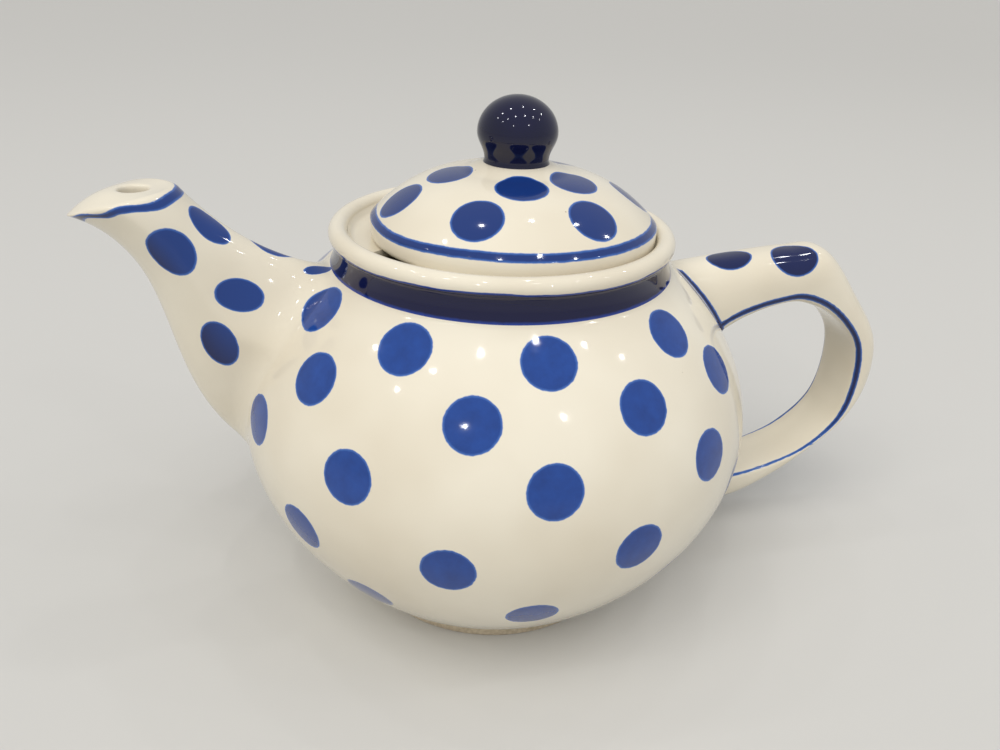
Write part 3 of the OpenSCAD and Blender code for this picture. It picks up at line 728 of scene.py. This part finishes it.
strap_points = 96
widest, corner = 0.3, 0.45
sections = np.linspace(0, 1, 220)
a = np.linspace(0, -math.tau, 1441)
s, c = np.sin(a), np.cos(a)
depth = np.where(s < 0, widest * (1 - np.abs(s) ** corner), widest + (1 - widest) * np.abs(s) ** 0.85)
width = np.where(s < 0, signed_power(c, corner), signed_power(c, 0.8)) * handle_w / 2
strap, past_corner = [], []
for inner_point, outer_point in zip(through(grip, sections), through(back, sections)):
    thick = np.linalg.norm(outer_point - inner_point)
    outline = np.stack([depth * thick, width], axis=-1)
    run = np.concatenate([[0], np.cumsum(np.linalg.norm(np.diff(outline, axis=0), axis=-1))])
    outline = spaced(outline, strap_points + 1)[:-1]
    share = outline[:, :1] / thick
    place = inner_point * (1 - share) + outer_point * share
    strap.append(np.stack([place[:, 0], outline[:, 1], place[:, 1]], axis=-1))
    # how far round the section each point lies from the nearer inner corner, towards the outside
    here = np.linspace(0, run[-1], strap_points + 1)[:-1]
    here = np.where(here > run[-1] * 0.75, here - run[-1], here)
    near_corner, far_corner = np.interp([math.pi / 4, math.pi * 0.75], -a, run)
    past_corner.append(np.where(here < (near_corner + far_corner) / 2, near_corner - here, here - far_corner))
strap, past_corner = np.array(strap), np.array(past_corner)
half_way = len(strap) // 2
upper_root, upper = luted(strap[:half_way + 1], up=2 * mm, out=2.6 * mm, rings=12)
lower_root, lower = luted(strap[:half_way - 1:-1], up=6 * mm, out=5 * mm, rings=12)
handle = skinned("handle", np.concatenate([upper_root, upper, lower[::-1][1:], lower_root[::-1]]),
                 cream_glaze)

# the line along the inner edges, and down the upper joint on both sides
at = points_of(handle)
strap_places = strap.reshape(-1, 3)
finder = kdtree.KDTree(len(strap_places))
for index, p in enumerate(strap_places):
    finder.insert(p, index)
finder.balance()
near = np.array([finder.find(p)[1] for p in at])
along_strap = (near // strap_points) / len(strap)
# the line runs high on the side of the arch, comes down beside the corner past it and thins out below
line_w = (2.3 - 1.2 * ease(0.5, 0.72, along_strap)) * mm
off_corner = 2.8 - 1.3 * ease(0.2, 0.4, along_strap) - 1.3 * ease(0.04, 0.16, along_strap)
off_corner = off_corner * mm
line_at = line_w / 2 + off_corner
in_line = line_w / 2 - np.abs(past_corner.ravel()[near] - line_at)
joint_w, joint_at, bare_top = 2.3 * mm, 2.5 * mm, 4 * mm
joint = np.full(len(at), unpainted)
from_pot = run_of(np.concatenate([upper_root, upper]))
from_pot = (from_pot - from_pot[2]).ravel()
joint[:len(from_pot)] = joint_w / 2 - np.abs(from_pot - joint_at)
joint = np.minimum(joint, np.abs(at[:, 1]) - bare_top)
brush_load = 0.95 - 0.75 * ease(0.5, 0.75, along_strap)
painted(handle, vessel_dabs, np.maximum(in_line, joint), brush_load)
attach(handle, "pot")
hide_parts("handle")

# ---- Lid ----
# Thrown as a shallow dome with a thick rounded edge, dabbed like the pot and banded just above that
# edge. It lies loose on the ledge, a little off the middle, and a steam vent is pierced behind the knob.

lid_r, lid_t = 39.7 * mm, 5 * mm
dome_z, dome_rise, dome_curve = 116.4 * mm, 13.6 * mm, 3.1
knob_foot_r, knob_seat_rise, seat_in, seat_out = 9.1 * mm, 1.6 * mm, 1 * mm, 6 * mm
flange_r, flange_t, flange_depth = 29.8 * mm, 4 * mm, 12 * mm
lid_turn = math.radians(-20)
lid_slide = 3.036 * mm
lid_middle = np.array([math.cos(lid_turn), math.sin(lid_turn), 0]) * lid_slide


def dome_at(r):
    """Height of the lid's outside at a radius. It climbs to the knob in a soft fillet."""
    r = np.asarray(r)
    seat = knob_seat_rise * (1 - ease(knob_foot_r - seat_in, knob_foot_r + seat_out, r))
    return dome_z + dome_rise * (1 - (r / lid_r) ** dome_curve) + seat


edge_r = 1.8 * mm
hollow_r = flange_r - flange_t
radii = np.linspace(0, hollow_r, 30)
under = np.stack([radii, dome_at(radii) - lid_t], axis=-1)
rim = [(lid_r - edge_r + edge_r * math.cos(a), ledge_z + edge_r + edge_r * math.sin(a))
       for a in np.radians(np.arange(-90, 1, 15))]
radii = np.linspace(lid_r, 0, 400)
dome = spaced(np.stack([radii, dome_at(radii)], axis=-1), 64)
lid_profile = np.concatenate([under, [(hollow_r, ledge_z)], rim, dome])
lid = thrown("lid", lid_profile, cream_glaze, points_round=240)
lid.data.transform(Matrix.Translation(lid_middle.tolist()))

vent_d, vent_l, vent_share = 3 * mm, 40 * mm, 0.45
vent_turn = lid_turn + math.radians(110)
vent_at = lid_middle + np.array([math.cos(vent_turn), math.sin(vent_turn), 0]) * lid_r * vent_share
worked(lid, drill, {"Rows": 1, "Pitch": 0.0, "Hole": vent_d, "Length": vent_l,
                    "Middle": (vent_at[0], vent_at[1], dome_z), "Tilt": 0.0, "Glaze": cream_glaze})


def on_dome(turn, r):
    """Point on the lid, by degrees from its front towards the handle and by radius."""
    a = math.radians(turn)
    x, y = lid_middle[0] + r * mm * math.sin(a), lid_middle[1] - r * mm * math.cos(a)
    return (x, y, float(dome_at(r * mm)))


lid_dab_r = 6.9 * mm
upper_dabs = [(-88, 18.5), (-10, 18), (43, 18), (130, 19), (178, 18)]
lower_dabs = [(-84.5, 32.4), (-32, 31), (24, 31.4), (79, 32), (138, 32), (206, 32)]
lid_dabs = [(*on_dome(turn, r), lid_dab_r, lid_dab_r, upward) for turn, r in lower_dabs]
# the upper ones are squeezed a little towards the knob
long_r, short_r = 7.1 * mm, 6.4 * mm
for turn, r in upper_dabs:
    a = math.radians(turn)
    lid_dabs.append((*on_dome(turn, r), long_r, short_r, (math.sin(a), -math.cos(a), 0)))
at = points_of(lid)
# the line starts at the foot of the dome, measured up the slope, but dips a little where the brush was
# set down and lifted, left of the front
line_w, dip_depth = 2.8 * mm, 0.9 * mm
dip_turn, dip_spread = math.radians(205), math.radians(24)
radii = np.linspace(lid_r, lid_r / 2, 200)
slope = np.stack([radii, dome_at(radii)], axis=-1)
up_slope = np.concatenate([[0], np.cumsum(np.linalg.norm(np.diff(slope, axis=0), axis=-1))])
from_axis = np.hypot(at[:, 0] - lid_middle[0], at[:, 1] - lid_middle[1])
from_foot = np.interp(from_axis, radii[::-1], up_slope[::-1])
from_foot = np.where(at[:, 2] < dome_z - 0.1 * mm, at[:, 2] - dome_z, from_foot)
place_round = np.mod(np.arctan2(at[:, 1] - lid_middle[1], at[:, 0] - lid_middle[0]), math.tau)
dip = dip_depth * np.exp(-((place_round - dip_turn) / dip_spread) ** 2)
in_line = line_w / 2 - np.abs(from_foot + dip - line_w / 2)
painted(lid, lid_dabs, in_line, load=0.55, hollow=np.array([0, 0, belly_z]))
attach(lid, "lid")
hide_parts("lid")

# ---- Lid flange ----
# A thrown ring under the lid, in one piece with it, that drops inside the ledge and stops the lid from
# falling out when the pot is tipped.

flange_edge = 1.2 * mm
flange_profile = rounded([[hollow_r, ledge_z], [hollow_r, ledge_z - flange_depth],
                          [flange_r, ledge_z - flange_depth], [flange_r, ledge_z]], flange_edge)
top = flange_profile[:, 1] > ledge_z - flange_edge - 0.1 * mm
flange_profile[:, 1] = np.where(top, ledge_z, flange_profile[:, 1])
flange_profile[:, 0] = np.where(top & (flange_profile[:, 0] < (hollow_r + flange_r) / 2), hollow_r,
                                np.where(top, flange_r, flange_profile[:, 0]))
flange = thrown("lid_flange", flange_profile, cream_glaze, points_round=192)
flange.data.transform(Matrix.Translation(lid_middle.tolist()))
painted(flange)
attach(flange, "lid")
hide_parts("lid_flange")

# ---- Knob ----
# A solid ball on a short waist, stuck on the middle of the dome. It was dipped in cobalt, so the whole
# knob is a navy that is nearly black.

knob_r, waist_r, knob_h = 10.9 * mm, 8.8 * mm, 17.48 * mm
foot_edge, ball_flat = 1 * mm, 0.88
seat_z = float(dome_at(knob_foot_r)) - 0.01 * mm
top_h = knob_r * ball_flat
ball_z = seat_z + knob_h - top_h
rise = np.linspace(0, 1, 18)
waist = np.stack([waist_r + (knob_r - waist_r) * (0.5 - 0.5 * np.cos(math.pi * rise)),
                  seat_z + foot_edge + (ball_z - seat_z - foot_edge) * rise], axis=-1)
ball = [(knob_r * math.cos(a), ball_z + top_h * math.sin(a)) for a in np.radians(np.arange(5, 90, 5))]
knob_profile = np.concatenate([[(0, seat_z), (knob_foot_r, seat_z - 0.1 * mm), (8.9 * mm, seat_z + 0.5 * mm)],
                               waist, ball, [(0, seat_z + knob_h)]])
# Cobalt glaze so thick that it fired to a navy near black; it hides the clay and its specks
navy, pooled_navy = "#0D1038", "#080A24"
navy_glaze = glazed("navy dipped glaze", navy, pooled_navy,
                    thin="#1D2560", full=navy, deep=pooled_navy, border=0.25 * mm, speckled=0.0)
knob = thrown("knob", knob_profile, navy_glaze, points_round=128)
knob.data.transform(Matrix.Translation(lid_middle.tolist()))
painted(knob)
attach(knob, "lid")
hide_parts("knob")

# ---- Table, light and camera ----
# A plain pale table under soft, even studio light: a wide soft sun and a sky, and two rows of small
# round lamps overhead that give the glaze its sparkle.

pale = bpy.data.materials.new("pale table")
pale.use_nodes = True
table_skin = pale.node_tree.nodes["Principled BSDF"].inputs
table_skin["Base Color"].default_value = colour("#C9C8C4")
table_skin["Roughness"].default_value = 0.9
table_skin["Specular IOR Level"].default_value = 0.1
half_table = 40
table = put("table", [(-half_table, -half_table, 0), (half_table, -half_table, 0),
                      (half_table, half_table, 0), (-half_table, half_table, 0)], [[0, 1, 2, 3]], pale)

world = bpy.data.worlds.new("studio")
bpy.context.scene.world = world
world.use_nodes = True
tree = world.node_tree
tree.nodes.clear()
rays = add(tree, "ShaderNodeLightPath").outputs
seen = add(tree, "ShaderNodeMath", {0: rays["Is Camera Ray"], 1: rays["Is Glossy Ray"]},
           operation="MAXIMUM").outputs[0]
seen = add(tree, "ShaderNodeMath", {0: seen, 1: rays["Is Transmission Ray"]},
           operation="MAXIMUM").outputs[0]
backdrop = add(tree, "ShaderNodeBackground", {"Color": colour("#C6C6C3"), "Strength": 1.0}).outputs[0]
ambient = add(tree, "ShaderNodeBackground", {"Color": colour("#F4F6FA"), "Strength": 0.47}).outputs[0]
sky = add(tree, "ShaderNodeMixShader", {0: seen, 1: ambient, 2: backdrop}).outputs[0]
add(tree, "ShaderNodeOutputWorld", {"Surface": sky})


def lamp(name, kind, place, power, size, tint="#FFFFFF", in_glaze=True):
    """A lamp that points at the pot, round or as a soft sun, which the glaze may show or not."""
    light = bpy.data.lights.new(name, kind)
    light.energy = power
    light.color = colour(tint)[:3]
    if kind == "SUN":
        light.angle = size
    else:
        light.shape = "DISK"
        light.size = size
    stand = bpy.data.objects.new(name, light)
    stand.location = place
    stand.rotation_euler = (Vector((0, 0, 0.07)) - Vector(place)).to_track_quat("-Z", "Y").to_euler()
    stand.visible_glossy = in_glaze
    bpy.context.scene.collection.objects.link(stand)


lamp("soft sun", "SUN", (-0.6, -0.7, 1.3), 1.7, math.radians(50), "#FFFAF2", False)
lamp("fill sun", "SUN", (0.8, -0.5, 1.0), 0.4, math.radians(60), "#F2F5FF", False)
lamp_w, lamp_d, ceiling_z = 0.35, 0.036, 1.2
for row, y in enumerate((0.16, -0.42)):
    for column, x in enumerate((-1.2, -0.7, -0.25, 0.2, 0.65, 1.15)):
        lamp(f"ceiling lamp {row} {column}", "AREA", (x, y, ceiling_z), lamp_w, lamp_d)
for column, x in enumerate((-0.5, 0.35)):
    lamp(f"front lamp {column}", "AREA", (x, -0.9, 0.85), lamp_w, lamp_d)

eye = Vector((-0.05572, -0.21246, 0.17996))
look_at = Vector((0.00114, -0.00031, 0.06585))
tilt = math.radians(2.55)
ahead = (look_at - eye).normalized()
level = ahead.cross(Vector((0, 0, 1))).normalized()
upright = level.cross(ahead)
right = level * math.cos(tilt) + upright * math.sin(tilt)
above = upright * math.cos(tilt) - level * math.sin(tilt)
lens = bpy.data.cameras.new("camera")
lens.lens = 28.8
lens.sensor_width = 36
lens.clip_start = 0.01
camera = bpy.data.objects.new("camera", lens)
camera.matrix_world = Matrix((
    (right.x, above.x, -ahead.x, eye.x), (right.y, above.y, -ahead.y, eye.y),
    (right.z, above.z, -ahead.z, eye.z), (0, 0, 0, 1)))
bpy.context.scene.collection.objects.link(camera)
bpy.context.scene.camera = camera
bpy.context.scene.view_settings.view_transform = "Standard"
